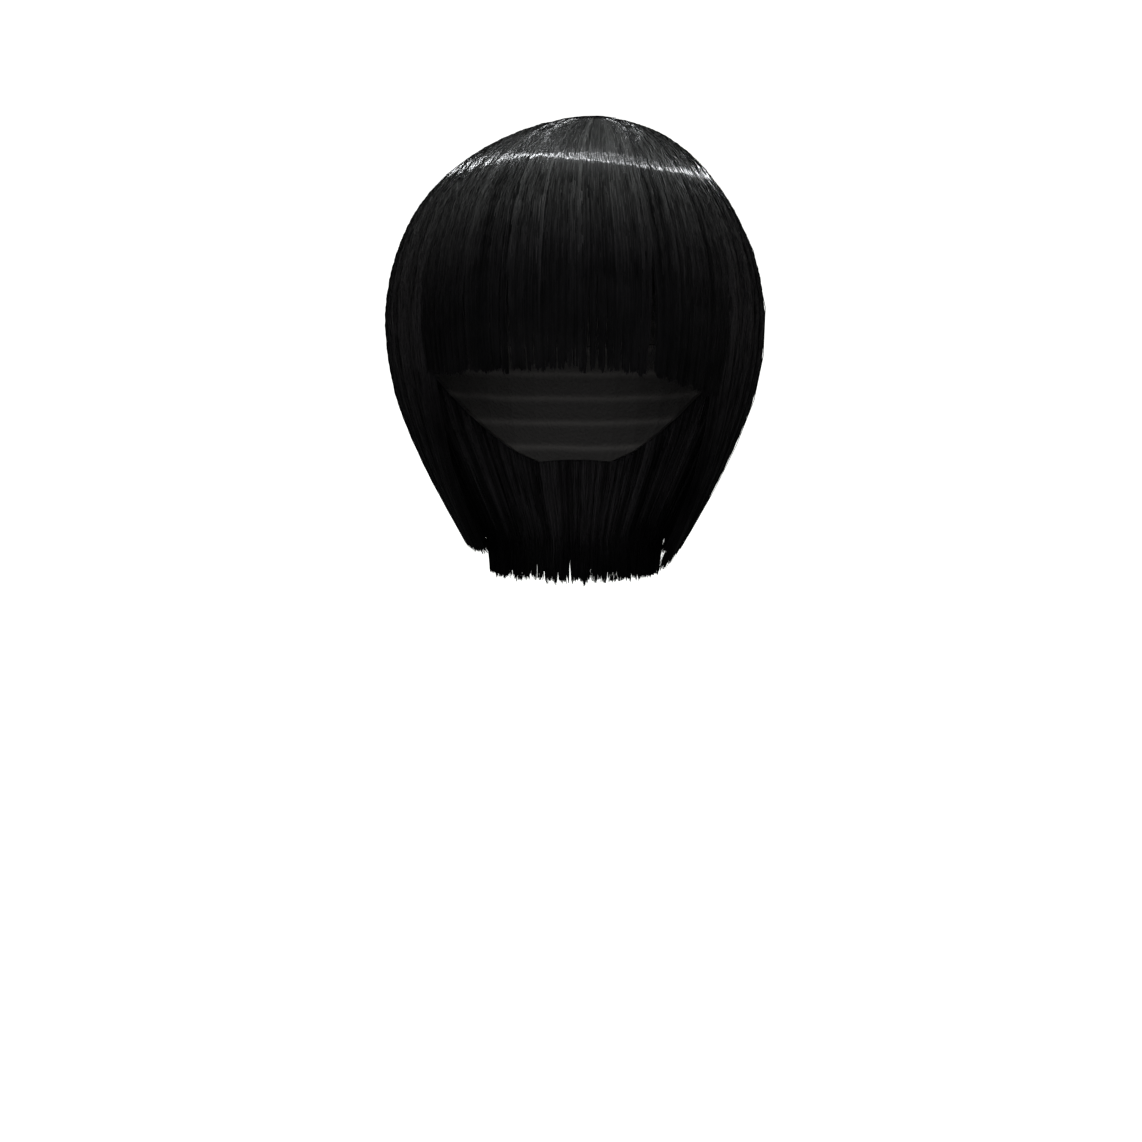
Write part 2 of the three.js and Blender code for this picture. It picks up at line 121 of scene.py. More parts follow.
@dataclass(frozen=True)
class WigForm:
    """The surfaces that all the hair follows: the outside of the worn hair and the head under it."""

    head_half_breadth: float = 75.0
    head_front: float = 92.0
    head_back: float = 98.0
    crown_height: float = 90.0
    nape_length: float = 212.0
    cap_wall: float = 1.5
    seat_gap: float = 1.0
    hair_on_top: float = 9.7
    hair_on_sides: float = 13.5
    hair_on_front: float = 11.5
    hair_on_back: float = 10.5
    whorl_x: float = 9.5
    whorl_y: float = 18.0
    whorl_fade: float = 0.7
    squareness: float = 2.1
    crown_taper: float = 1.08
    hair_skirt: Table = Table(
        ("drop", "width", "front", "back"),
        (
            (0.0, 1.0, 1.0, 1.0),
            (0.1, 0.99, 0.998, 0.995),
            (0.2, 0.97, 0.985, 0.975),
            (0.3, 0.937, 0.955, 0.94),
            (0.4, 0.886, 0.9, 0.895),
            (0.5, 0.826, 0.84, 0.84),
            (0.6, 0.761, 0.77, 0.78),
            (0.7, 0.689, 0.69, 0.717),
            (0.8, 0.612, 0.61, 0.655),
            (0.9, 0.54, 0.53, 0.6),
            (1.0, 0.475, 0.45, 0.56),
        ),
    )
    head_skirt: Table = Table(
        ("drop", "width", "front", "back"),
        (
            (0.0, 1.0, 1.0, 1.0),
            (0.1, 0.995, 0.995, 0.985),
            (0.2, 0.98, 0.98, 0.96),
            (0.3, 0.955, 0.95, 0.92),
            (0.4, 0.915, 0.9, 0.87),
            (0.5, 0.865, 0.85, 0.81),
            (0.6, 0.8, 0.79, 0.745),
            (0.8, 0.66, 0.68, 0.63),
            (1.0, 0.54, 0.57, 0.545),
        ),
    )
    cap_rim: Table = Table(
        ("angle", "drop"),
        (
            (0.0, 62.0),
            (24.0, 62.0),
            (48.0, 76.0),
            (68.0, 114.0),
            (90.0, 99.0),
            (118.0, 114.0),
            (160.0, 150.0),
            (180.0, 150.0),
        ),
    )

    @property
    def skirt_drop(self) -> float:
        """Height from the widest level down to the nape."""
        return self.nape_length - self.crown_height

    @property
    def sewn(self) -> float:
        """Distance from the head to the hair that is sewn on the cap."""
        return self.cap_wall + self.seat_gap

    def level_of(self, drop: Array) -> Array:
        """Level at a distance straight down from the top of the head."""
        drop = np.asarray(drop, float)
        dome = np.arccos(np.clip(1.0 - drop / self.crown_height, 0.0, 1.0)) / (math.pi / 2)
        return np.where(drop > self.crown_height, 1.0 + (drop - self.crown_height) / self.skirt_drop, dome)

    def rim_level(self, angle: Array) -> Array:
        """Level of the cap's rim at an angle round the head, in radians."""
        turn = np.degrees(np.abs(np.arctan2(np.sin(angle), np.cos(angle))))
        return self.level_of(self.cap_rim.read("drop", turn))

    def lean(self, level: Array) -> Array:
        """Share by which the hair at a level is drawn towards the whorl."""
        return 1.0 - smooth(level / self.whorl_fade)

    def _section(
        self, half: float, front: float, back: float, skirt: Table, level: Array, extra: Array
    ) -> tuple[Array, Array, Array]:
        """Half axes of a section.

        Args:
            half: Half breadth of the widest section.
            front: Its depth towards the face.
            back: Its depth towards the back.
            skirt: Shares of these below the widest level.
            level: Levels to read.
            extra: Thickness added outwards.

        Returns:
            The half breadth, the depth to the front and the depth to the back.
        """
        round_ = np.sin(np.minimum(level, 1.0) * math.pi / 2) ** self.crown_taper
        drop = np.maximum(level - 1.0, 0.0)
        axes = []
        for size, column in ((half, "width"), (front, "front"), (back, "back")):
            below = size * skirt.read(column, drop) + extra
            axes.append(np.where(level < 1.0, (size + extra) * round_, below))
        return axes[0], axes[1], axes[2]

    def _on_section(self, axes: tuple[Array, Array, Array], angle: Array) -> tuple[Array, Array]:
        """The point of a section at an angle round the head.

        Args:
            axes: Half breadth, front and back of the section.
            angle: Angle from the forehead, in radians.

        Returns:
            Its X and Y.
        """
        half, front, back = axes
        forward, sideways = np.cos(angle), np.sin(angle)
        power = 2.0 / self.squareness
        depth = np.where(forward > 0, front, back)
        x = half * np.sign(sideways) * np.abs(sideways) ** power
        y = -depth * np.sign(forward) * np.abs(forward) ** power
        return x, y

    def hair_point(self, angle: Array, level: Array, inset: Array) -> Array:
        """A point of the worn hair.

        Args:
            angle: Angle round the head, in radians.
            level: Level between crown and nape.
            inset: Depth under the outside of the hair.

        Returns:
            Points with X, Y and Z on the last axis.
        """
        angle, level, inset = np.broadcast_arrays(angle, level, inset)
        half = self.head_half_breadth + self.cap_wall + self.hair_on_sides
        front = self.head_front + self.cap_wall + self.hair_on_front
        back = self.head_back + self.cap_wall + self.hair_on_back
        axes = self._section(half, front, back, self.hair_skirt, level, -inset)
        x, y = self._on_section(axes, angle)
        lean = self.lean(level)
        top = self.cap_wall + self.hair_on_top - inset
        dome = top - (top + self.crown_height) * (1.0 - np.cos(level * math.pi / 2))
        below = -self.crown_height - (level - 1.0) * self.skirt_drop
        z = np.where(level > 1.0, below, dome)
        return np.stack((x + self.whorl_x * lean, y + self.whorl_y * lean, z), axis=-1)

    def seat_point(self, angle: Array, level: Array) -> Array:
        """A point where the hair is sewn on the cap.

        Args:
            angle: Angle round the head, in radians.
            level: Level between crown and nape.

        Returns:
            Points with X, Y and Z on the last axis.
        """
        angle, level = np.broadcast_arrays(angle, level)
        extra = np.full(level.shape, self.sewn)
        axes = self._section(
            self.head_half_breadth, self.head_front, self.head_back, self.head_skirt, level, extra
        )
        x, y = self._on_section(axes, angle)
        lean = np.where(level < 1.0, self.lean(level), 0.0)
        x, y = x + self.whorl_x * lean, y + self.whorl_y * lean
        depth = np.where(y < 0, self.head_front, self.head_back) + self.sewn
        across = np.abs(x / (self.head_half_breadth + self.sewn)) ** self.squareness
        along = np.abs(y / depth) ** self.squareness
        out = np.minimum((across + along) ** (1.0 / self.squareness), 1.0)
        dome = self.sewn - (self.sewn + self.crown_height) * (1.0 - np.sqrt(1.0 - out * out))
        below = -self.crown_height - (level - 1.0) * self.skirt_drop
        return np.stack((x, y, np.where(level < 1.0, dome, below)), axis=-1)


@dataclass
class MeshParts:
    """Arrays of closed bodies that are joined in one mesh."""

    points: list[Array] = field(default_factory=list)
    corners: list[Array] = field(default_factory=list)
    sizes: list[Array] = field(default_factory=list)
    tones: list[Array] = field(default_factory=list)
    alongs: list[Array] = field(default_factory=list)
    normals: list[Array] = field(default_factory=list)
    count: int = 0

    def add(
        self, points: Array, faces: list[Array], tone: Array, along: Array, normals: Array | None = None
    ) -> None:
        """Add bodies.

        Args:
            points: Vertices, in millimetres.
            faces: Arrays of faces, each with one row of corners a face.
            tone: Tone of each vertex, from 0 to 1.
            along: Place of each vertex between root and tip.
            normals: Direction in which each vertex is shaded, or None to follow the faces.
        """
        self.normals.append(np.zeros_like(points) if normals is None else normals)
        for block in faces:
            self.corners.append(block.reshape(-1) + self.count)
            self.sizes.append(np.full(len(block), block.shape[1]))
        self.points.append(points)
        self.tones.append(tone)
        self.alongs.append(along)
        self.count += len(points)

    def to_object(self, name: str) -> bpy.types.Object:
        """Write the bodies to a new object.

        Args:
            name: Name of the piece.

        Returns:
            The object, linked to the scene.
        """
        points = np.concatenate(self.points) / METRE
        corners = np.concatenate(self.corners).astype(np.int32)
        sizes = np.concatenate(self.sizes).astype(np.int32)
        mesh = bpy.data.meshes.new(name)
        mesh.vertices.add(len(points))
        mesh.vertices.foreach_set("co", points.astype(np.float32).reshape(-1))
        mesh.loops.add(len(corners))
        mesh.loops.foreach_set("vertex_index", corners)
        mesh.polygons.add(len(sizes))
        starts = np.concatenate(([0], np.cumsum(sizes)[:-1])).astype(np.int32)
        mesh.polygons.foreach_set("loop_start", starts)
        mesh.polygons.foreach_set("use_smooth", np.ones(len(sizes), bool))
        mesh.update(calc_edges=True)
        for label, values in (("strand_tone", self.tones), ("strand_along", self.alongs)):
            attribute = mesh.attributes.new(label, "FLOAT", "POINT")
            attribute.data.foreach_set("value", np.concatenate(values).astype(np.float32))
        mesh.normals_split_custom_set_from_vertices(np.concatenate(self.normals).tolist())
        piece = bpy.data.objects.new(name, mesh)
        bpy.context.scene.collection.objects.link(piece)
        return piece

    def add_tubes(
        self, paths: Array, sideways: Array, radii: Array, tone: Array, bulge: float = 0.26
    ) -> None:
        """Add three-sided strands with closed ends, each with one flat side that looks outwards.

        Args:
            paths: Points of each strand, as strands by rings by 3.
            sideways: Direction round the head at each point.
            radii: Radius at each point.
            tone: Tone of each strand.
            bulge: How far the shading turns from the middle of the flat side to its edges, in radians.
        """
        strands, rings = paths.shape[:2]
        sides = 3
        tangent = unit(np.gradient(paths, axis=1))
        outward = unit(np.cross(tangent, sideways))
        sideways = unit(np.cross(outward, tangent))
        turns = (np.arange(sides) + 0.5) * 2.0 * math.pi / sides
        offset = (
            outward[:, :, None] * np.cos(turns)[None, None, :, None]
            + sideways[:, :, None] * np.sin(turns)[None, None, :, None]
        )
        shaded = np.array((bulge, math.pi, -bulge))[None, None, :, None]
        normals = outward[:, :, None] * np.cos(shaded) + sideways[:, :, None] * np.sin(shaded)
        points = paths[:, :, None] + offset * radii[:, :, None, None]
        base = np.arange(strands)[:, None, None] * rings * sides
        ring = np.arange(rings - 1)[None, :, None] * sides
        side = np.arange(sides)[None, None, :]
        following = (side + 1) % sides
        near, far = base + ring, base + ring + sides
        quads = np.stack((near + side, far + side, far + following, near + following), axis=-1)
        first = np.arange(strands)[:, None] * rings * sides
        caps = np.concatenate((first + np.array([[0, 1, 2]]), first + (rings - 1) * sides + [[2, 1, 0]]))
        along = np.broadcast_to(np.linspace(0, 1, rings)[None, :, None], points.shape[:3])
        self.add(
            points.reshape(-1, 3),
            [quads.reshape(-1, 4), caps],
            np.repeat(tone, rings * sides),
            along.reshape(-1),
            normals.reshape(-1, 3),
        )

    def add_wall(self, outer: Array, inner: Array, tone: Array) -> None:
        """Add a closed wall between two grids.

        Args:
            outer: Outer points, as rows by columns by 3.
            inner: Inner points, as many.
            tone: Tone of each column.
        """
        rows, columns = outer.shape[:2]
        points = np.concatenate((outer.reshape(-1, 3), inner.reshape(-1, 3)))
        row, column = np.meshgrid(np.arange(rows - 1), np.arange(columns - 1), indexing="ij")
        a = (row * columns + column).reshape(-1)
        half = rows * columns
        faces = [
            np.stack((a, a + columns, a + columns + 1, a + 1), axis=-1),
            np.stack((a, a + 1, a + columns + 1, a + columns), axis=-1) + half,
        ]
        top = np.arange(columns - 1)
        foot = top + (rows - 1) * columns
        faces.append(np.stack((top, top + 1, top + 1 + half, top + half), axis=-1))
        faces.append(np.stack((foot, foot + half, foot + 1 + half, foot + 1), axis=-1))
        first = np.arange(rows - 1) * columns
        end = first + columns - 1
        faces.append(np.stack((first, first + half, first + columns + half, first + columns), axis=-1))
        faces.append(np.stack((end, end + columns, end + columns + half, end + half), axis=-1))
        along = np.repeat(np.linspace(0, 1, rows), columns)
        tones = np.tile(tone, rows)
        self.add(points, faces, np.tile(tones, 2), np.tile(along, 2))


@dataclass(frozen=True)
class Edge:
    """One edge of a tress, which may lean round the head on its way down."""

    angle: float
    sweep: float = 0.0
    sweep_from: float = 1.2

    def at(self, level: Array) -> Array:
        """Angle of the edge at a level, in radians."""
        share = smooth((level - self.sweep_from) / (2.0 - self.sweep_from))
        return np.radians(self.angle + self.sweep * share)


@dataclass(frozen=True)
class HemCut:
    """How a hem is cut.

    It holds the unevenness from lock to lock and the length lost by the shortest strands, in millimetres. The
    power keeps most strands long, and the share is that by which a lock draws together at its tip.
    """

    wander: float
    taper: float
    power: float
    gather: float


class Cut(Enum):
    """The cuts of this wig."""

    BLUNT = HemCut(1.7, 1.8, 2.4, 0.38)
    TAPERED = HemCut(2.2, 16.0, 2.0, 0.35)
    SHORN = HemCut(2.4, 9.0, 1.8, 0.35)


@dataclass(frozen=True)
class Straying:
    """How far strands and their clumps stray from an even lay.

    The drift, swell, ripple, weave, proud height, cut noise and root tuck are in millimetres. The root spread
    is in levels, turns are in radians, and the rest are shares.
    """

    past_edge: float = 1.012
    clump_blur: float = 0.25
    clump_shift: float = 0.3
    clump_pull: float = 0.16
    drift: float = 0.5
    swell: Pair = (0.03, 0.13)
    swell_turns: float = 14.0
    ripple: float = 0.05
    ripple_turns: float = 9.0
    weave: float = 0.2
    weave_turns: float = 7.0
    proud_share: float = 0.004
    proud_height: Pair = (0.3, 1.1)
    cut_noise: float = 0.45
    root_spread: Pair = (-0.02, 0.05)
    root_tuck: float = 0.6
    thickness: Pair = (0.8, 1.2)
    tip_thinning: float = 0.45
    own_tone: float = 0.55


@dataclass
class Tress:
    """A tress of strands over a backing that is sewn on the cap.

    The strands are over_cap thick on the cap and hem_wall thick below its rim. The hem holds shares of the
    length by which the tress is longer there, from its start to its end.
    """

    name: str
    node: str
    form: WigForm
    start: Edge
    end: Edge
    length: float
    hem: Table
    hem_wall: float
    strands: int
    rings: int
    locks: int
    seed: int
    cut: Cut
    slits: Table | None = None
    backing_foot: float = 0.0
    outer_inset: float = 0.0
    loosened: float = 0.0
    loose_from: float = 1.83
    loose_run: float = 0.14
    from_rim: bool = False
    above_rim: float = 0.03
    over_cap: float = 1.6
    root_level: float = 0.09
    groove: float = 1.0
    strand_radius: float = 0.2
    clump_width: float = 1.7
    thinning: float = 0.3
    slit_curve: float = 0.55
    slit_most: float = 1.2
    stray: Straying = Straying()

    def hem_level(self, across: Array) -> Array:
        """Level of the hem, across the tress from 0 to 1."""
        return self.form.level_of(self.length * (1.0 + self.hem.read("longer", across)))

    def angle(self, across: Array, level: Array) -> Array:
        """Angle round the head of a place across the tress."""
        first = self.start.at(level)
        return first + (self.end.at(level) - first) * across

    def root(self, across: Array) -> Array:
        """Level where the strands start."""
        if self.from_rim:
            return self.form.rim_level(self.angle(across, np.ones_like(across))) - self.above_rim
        return np.full(np.shape(across), self.root_level)

    def hem_run(self) -> tuple[Array, Array]:
        """Measure the hem round the head.

        Returns:
            Places across the tress, and the length of the hem up to each.
        """
        across = np.linspace(0, 1, 49)
        level = self.hem_level(across)
        points = self.form.hair_point(self.angle(across, level), level, np.zeros_like(across))
        steps = np.linalg.norm(np.diff(points, axis=0), axis=1)
        return across, np.concatenate(([0.0], np.cumsum(steps)))

    def part(self, across: Array, level: Array, hem: Array, width: float) -> Array:
        """Part the strands at the slits, which open towards the hem.

        Args:
            across: Places across the tress.
            level: Levels of those places.
            hem: Level of the hem of each strand.
            width: Length of the hem round the head.

        Returns:
            The places, moved aside.
        """
        if self.slits is None:
            return across
        above_hem = (hem - level) * self.form.skirt_drop
        moved = across.copy()
        for place, reach, gap in self.slits.rows:
            share = np.clip(1.0 - above_hem / reach, 0.0, self.slit_most)
            opened = gap / 2.0 * share**self.slit_curve
            away = (across - place) * width
            span = 3.0 + 2.0 * gap
            push = opened * np.clip(1.0 - np.abs(away) / span, 0.0, 1.0)
            moved += np.sign(away) * push / width
        return moved

    def inset_at(self, level: Array) -> Array:
        """Depth of the tress under the outside of the hair, less where its tips swing out."""
        return self.outer_inset - self.loosened * smooth((level - self.loose_from) / self.loose_run)

    def depth_room(self, angle: Array, level: Array) -> Array:
        """Thickness that the strands take, over the cap and below its rim."""
        below = smooth((level - self.form.rim_level(angle)) / self.thinning)
        return self.over_cap + (self.hem_wall - self.over_cap) * below

    def build_strands(self, parts: MeshParts) -> None:
        """Lay all strands from the crown to the hem.

        Args:
            parts: The mesh that takes them.
        """
        rng = np.random.default_rng(self.seed)
        count, rings, stray, cut = self.strands, self.rings, self.stray, self.cut.value
        places, run = self.hem_run()
        width = float(run[-1])
        across = np.interp((np.arange(count) + rng.random(count)) / count * width, run, places)
        across = (across - 0.5) * stray.past_edge + 0.5
        clumps = max(int(width / self.clump_width), 4)
        clump = (across * clumps + rng.normal(0, stray.clump_blur, count)).astype(int)
        clump = np.clip(clump, 0, clumps - 1)
        shift = rng.uniform(-stray.clump_shift, stray.clump_shift, clumps)
        clump_place = (np.arange(clumps) + 0.5 + shift) / clumps
        clump_drift = rng.normal(0, stray.drift, clumps) / width
        clump_cut = rng.normal(0, cut.wander / 2, clumps)
        clump_wave = rng.uniform(0, 2 * math.pi, clumps)
        clump_swell = rng.uniform(*stray.swell, clumps)
        clump_tone = rng.random(clumps)
        depth = rng.random(count) ** 1.2
        skew = rng.normal(0, stray.drift, count) / width
        wave = rng.uniform(0, 2 * math.pi, (count, 2))
        is_proud = rng.random(count) < stray.proud_share
        proud = np.where(is_proud, rng.uniform(*stray.proud_height, count), 0.0)
        gathers = rng.uniform(0.0, 1.0, clumps) ** 2

        shorter = cut.taper * rng.random(count) ** cut.power + clump_cut[clump]
        hem = self.hem_level(across)
        end = hem - (shorter + rng.normal(0, stray.cut_noise, count)) / self.form.skirt_drop
        start = self.root(across) + rng.uniform(*stray.root_spread, count)
        v = np.tile(np.linspace(0, 1, rings), (count, 1))
        v[:, 1:-1] += rng.uniform(-0.4, 0.4, count)[:, None] / (rings - 1)
        level = start[:, None] + (end - start)[:, None] * v

        place = across[:, None] + (skew[:, None] * (v - 0.4) + clump_drift[clump][:, None] * v**2)
        place = place + stray.weave / width * np.sin(wave[:, :1] + stray.weave_turns * v)
        pull = stray.clump_pull * v**3 + cut.gather * v**14
        place = place + (clump_place[clump][:, None] - place) * pull
        place = self.part(place, level, hem[:, None], width)

        angle = self.angle(place, level)
        lock = np.abs(((across * self.locks) % 1.0) * 2.0 - 1.0)[:, None]
        valley = self.groove * lock**3 * smooth(level * 1.4)
        valley = valley + gathers[clump][:, None] * (0.6 + 0.6 * (1.0 - smooth(level / 0.5)))
        swells = np.sin(clump_wave[clump][:, None] + stray.swell_turns * level)
        ripple = clump_swell[clump][:, None] * swells
        ripple = ripple + stray.ripple * np.sin(wave[:, 1:] + stray.ripple_turns * level)
        tucked = stray.root_tuck * (1.0 - smooth(v * 6.0)) if not self.from_rim else 0.0
        inset = (
            self.inset_at(level)
            + depth[:, None] * self.depth_room(angle, level)
            + valley
            + ripple
            + tucked
            - proud[:, None] * smooth(v * 2.0)
        )
        paths = self.form.hair_point(angle, level, inset)
        sideways = self.form.hair_point(angle + SMALL_TURN, level, inset) - paths
        thickness = rng.uniform(*stray.thickness, count)[:, None]
        radii = self.strand_radius * thickness * (1.0 - stray.tip_thinning * v**6)
        tone = stray.own_tone * rng.random(count) ** 2 + (1.0 - stray.own_tone) * clump_tone[clump] ** 2
        parts.add_tubes(paths, sideways, radii, tone)

    def build_backing(self, parts: MeshParts) -> None:
        """Build the mass of hair under the strands, down to just past the rim of the cap.

        Args:
            parts: The mesh that takes it.
        """
        rows, columns = 16, 40
        across = np.linspace(0, 1, columns)[None, :]
        v = np.linspace(0, 1, rows)[:, None]
        rim = self.form.rim_level(self.angle(across, np.ones_like(across)))
        foot = np.minimum(rim + self.backing_foot, self.hem_level(across) - 0.1)
        top = self.root(across)
        level = top + (foot - top) * v
        angle = self.angle(across, level)
        hanging = smooth((level - rim) / self.thinning)
        cover = self.outer_inset + self.over_cap * 0.7
        outer = self.form.hair_point(angle, level, cover + 1.2 * smooth(v * 4.0 - 3.0))
        free = self.form.hair_point(angle, level, cover + self.hem_wall)
        seat = self.form.seat_point(angle, level)
        inner = seat + (free - seat) * hanging[..., None]
        tone = np.random.default_rng(self.seed + 1).random(columns)
        parts.add_wall(outer, inner, tone)

    def build(self) -> bpy.types.Object:
        """Build the tress as one piece that stands for its node.

        Returns:
            The new piece.
        """
        parts = MeshParts()
        self.build_strands(parts)
        if not self.from_rim:
            self.build_backing(parts)
        piece = parts.to_object(self.name)
        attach(piece, "root")
        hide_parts(self.node)
        return piece


@dataclass
class Whorl:
    """The swirl of short strands at the crown, on a small pad."""

    form: WigForm
    radius_level: float = 0.125
    strands: int = 900
    rings: int = 9
    seed: int = 61
    strand_radius: float = 0.2
    reach: Pair = (1.1, 2.1)
    locks: float = 9.0
    twist: float = 1.25
    pad_inset: float = 2.0
    pad_rows: int = 5
    pad_columns: int = 40

    def build(self) -> bpy.types.Object:
        """Build the swirl as one piece that stands for its node.

        Returns:
            The new piece.
        """
        parts = MeshParts()
        rng = np.random.default_rng(self.seed)
        count = self.strands
        v = np.linspace(0, 1, self.rings)[None, :]
        turn = rng.random(count)[:, None] * 2 * math.pi
        reach = self.radius_level * rng.uniform(*self.reach, count)[:, None]
        start = 0.006 + 0.02 * rng.random(count)[:, None]
        level = start + (reach - start) * v
        angle = turn + self.twist * (1.0 - smooth(v * 1.2))
        depth = 0.9 * rng.random(count)[:, None]
        locks = 0.7 * np.sin(turn * self.locks) ** 4 * smooth(level / 0.06)
        inset = depth + locks - 0.2 + 1.8 * smooth(v * 2.0 - 1.0) + 0.8 * (1.0 - smooth(level / 0.04))
        paths = self.form.hair_point(angle, level, inset)
        sideways = self.form.hair_point(angle + SMALL_TURN, level, inset) - paths
        radii = self.strand_radius * rng.uniform(0.8, 1.2, count)[:, None] * np.ones_like(v)
        parts.add_tubes(paths, sideways, radii, 0.3 * rng.random(count))

        rows, columns = self.pad_rows, self.pad_columns
        ring = np.linspace(0.012, self.radius_level * 0.95, rows)[:, None]
        around = np.linspace(0, 2 * math.pi, columns + 1)[None, :-1]
        outer = self.form.hair_point(around, ring, self.pad_inset)
        inner = self.form.seat_point(around, ring)
        self._add_pad(parts, outer, inner)
        piece = parts.to_object("whorl_strands")
        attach(piece, "root")
        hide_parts("crown_whorl")
        return piece

    def _add_pad(self, parts: MeshParts, outer: Array, inner: Array) -> None:
        """Add the closed pad under the swirl.

        Args:
            parts: The mesh that takes it.
            outer: Upper rings of points, from the middle out.
            inner: Lower rings of points.
        """
        rows, columns = outer.shape[:2]
        half = rows * columns
        points = np.concatenate((outer.reshape(-1, 3), inner.reshape(-1, 3)))
        row, column = np.meshgrid(np.arange(rows - 1), np.arange(columns), indexing="ij")
        following = (column + 1) % columns
        a, b = row * columns + column, row * columns + following
        c, d = b + columns, a + columns
        faces = [
            np.stack((a, d, c, b), axis=-1).reshape(-1, 4),
            np.stack((a, b, c, d), axis=-1).reshape(-1, 4) + half,
        ]
        one = np.arange(columns)
        two = (one + 1) % columns
        last = (rows - 1) * columns
        faces.append(np.stack((one + last, one + last + half, two + last + half, two + last), axis=-1))
        faces.append(one[None, :])
        faces.append(one[None, ::-1] + half)
        parts.add(points, faces, np.full(len(points), 0.5), np.full(len(points), 0.5))


def new_material(name: str) -> tuple[bpy.types.Material, bpy.types.NodeTree, bpy.types.Node]:
    """Make a material with one Principled shader.

    Args:
        name: Name of the material.

    Returns:
        The material, its node tree and the shader.
    """
    material = bpy.data.materials.new(name)
    material.use_nodes = True
    return material, material.node_tree, material.node_tree.nodes["Principled BSDF"]


def set_inputs(node: bpy.types.Node, values: dict) -> None:
    """Set the values of a node's inputs, each by its name or number."""
    for key, value in values.items():
        node.inputs[key].default_value = value


def add_node(tree: bpy.types.NodeTree, kind: str, values: dict | None = None) -> bpy.types.Node:
    """Add a shader node.

    Args:
        tree: Node tree that takes it.
        kind: Type of the node, without its prefix.
        values: Values of its inputs, each by its name or number.

    Returns:
        The node.
    """
    node = tree.nodes.new(f"ShaderNode{kind}")
    set_inputs(node, values or {})
    return node


def join(tree: bpy.types.NodeTree, *wires: tuple) -> None:
    """Link nodes, with each wire given as a node, its output, the next node and its input."""
    for source, output, target, entry in wires:
        tree.links.new(source.outputs[output], target.inputs[entry])


class FibreGroup:
    """Colour, roughness and fine relief of fibres, shared by the hair and the net."""

    NAME = "fibre_variation"

    @classmethod
    def get(cls) -> bpy.types.NodeTree:
        """Build the node group once.

        Returns:
            The node group.
        """
        if cls.NAME in bpy.data.node_groups:
            return bpy.data.node_groups[cls.NAME]
        group = bpy.data.node_groups.new(cls.NAME, "ShaderNodeTree")
        face = group.interface
        for label, kind, value in (
            ("Dark", "NodeSocketColor", (0.01, 0.01, 0.01, 1.0)),
            ("Light", "NodeSocketColor", (0.03, 0.025, 0.02, 1.0)),
            ("Smoothest", "NodeSocketFloat", 0.2),
            ("Roughest", "NodeSocketFloat", 0.4),
            ("Tone", "NodeSocketFloat", 0.5),
            ("Grain Scale", "NodeSocketFloat", 400.0),
        ):
            socket = face.new_socket(label, in_out="INPUT", socket_type=kind)
            socket.default_value = value
        for label, kind in (
            ("Color", "NodeSocketColor"),
            ("Roughness", "NodeSocketFloat"),
            ("Height", "NodeSocketFloat"),
        ):
            face.new_socket(label, in_out="OUTPUT", socket_type=kind)
        nodes = group.nodes
        given, out = nodes.new("NodeGroupInput"), nodes.new("NodeGroupOutput")
        place = add_node(group, "TexCoord")
        patches = add_node(group, "TexNoise", {"Scale": 38.0, "Detail": 2.0})
        grain = add_node(group, "TexNoise", {"Detail": 3.0})
        blend = add_node(group, "Math", {1: 0.9})
        shift = add_node(group, "Math", {1: 0.24, 2: -0.08})
        blend.operation = shift.operation = "MULTIPLY_ADD"
        colour, rough = add_node(group, "Mix"), add_node(group, "Mix")
        colour.data_type = "RGBA"
        join(
            group,
            (place, "Object", patches, "Vector"),
            (place, "Object", grain, "Vector"),
            (given, "Grain Scale", grain, "Scale"),
            (patches, "Fac", shift, 0),
            (given, "Tone", blend, 0),
            (shift, 0, blend, 2),
            (blend, 0, colour, "Factor"),
            (given, "Dark", colour, "A"),
            (given, "Light", colour, "B"),
            (blend, 0, rough, "Factor"),
            (given, "Smoothest", rough, "A"),
            (given, "Roughest", rough, "B"),
            (colour, "Result", out, "Color"),
            (rough, "Result", out, "Roughness"),
            (grain, "Fac", out, "Height"),
        )
        return group


@dataclass(frozen=True)
class HairFinish:
    """Glossy straight synthetic fibre, with painted shade that darkens each strand from the middle of its
    length to its tip.
    """

    name: str = "black_fibre"
    dark: Triple = (0.0025, 0.0025, 0.0028)
    light: Triple = (0.06, 0.058, 0.062)
    smoothest: float = 0.3
    roughest: float = 0.46
    coat: float = 0.55

    def make(self) -> bpy.types.Material:
        """Make the material.

        Returns:
            The material.
        """
        material, tree, shader = new_material(self.name)
        group = add_node(tree, "Group")
        group.node_tree = FibreGroup.get()
        set_inputs(group, {"Dark": (*self.dark, 1.0), "Light": (*self.light, 1.0)})
        set_inputs(group, {"Smoothest": self.smoothest, "Roughest": self.roughest})
        tone, along = add_node(tree, "Attribute"), add_node(tree, "Attribute")
        tone.attribute_name = "strand_tone"
        along.attribute_name = "strand_along"
        # Painted shade: the tone of each strand falls to a tenth from the middle of its length to its tip, so
        # the lower hair is painted dark as if it lay in shade.
        fade = add_node(tree, "MapRange", {"From Min": 0.45, "From Max": 0.85})
        set_inputs(fade, {"To Min": 1.0, "To Max": 0.1})
        fade.interpolation_type = "SMOOTHSTEP"
        tone_in_painted_shade = add_node(tree, "Math")
        tone_in_painted_shade.operation = "MULTIPLY"
        join(
            tree,
            (along, "Fac", fade, "Value"),
            (tone, "Fac", tone_in_painted_shade, 0),
            (fade, "Result", tone_in_painted_shade, 1),
            (tone_in_painted_shade, 0, group, "Tone"),
            (group, "Color", shader, "Base Color"),
            (group, "Roughness", shader, "Roughness"),
        )
        shader.inputs["IOR"].default_value = 1.5
        shader.inputs["Specular IOR Level"].default_value = 0.08
        shader.inputs["Coat Weight"].default_value = self.coat
        shader.inputs["Coat Roughness"].default_value = 0.07
        return material


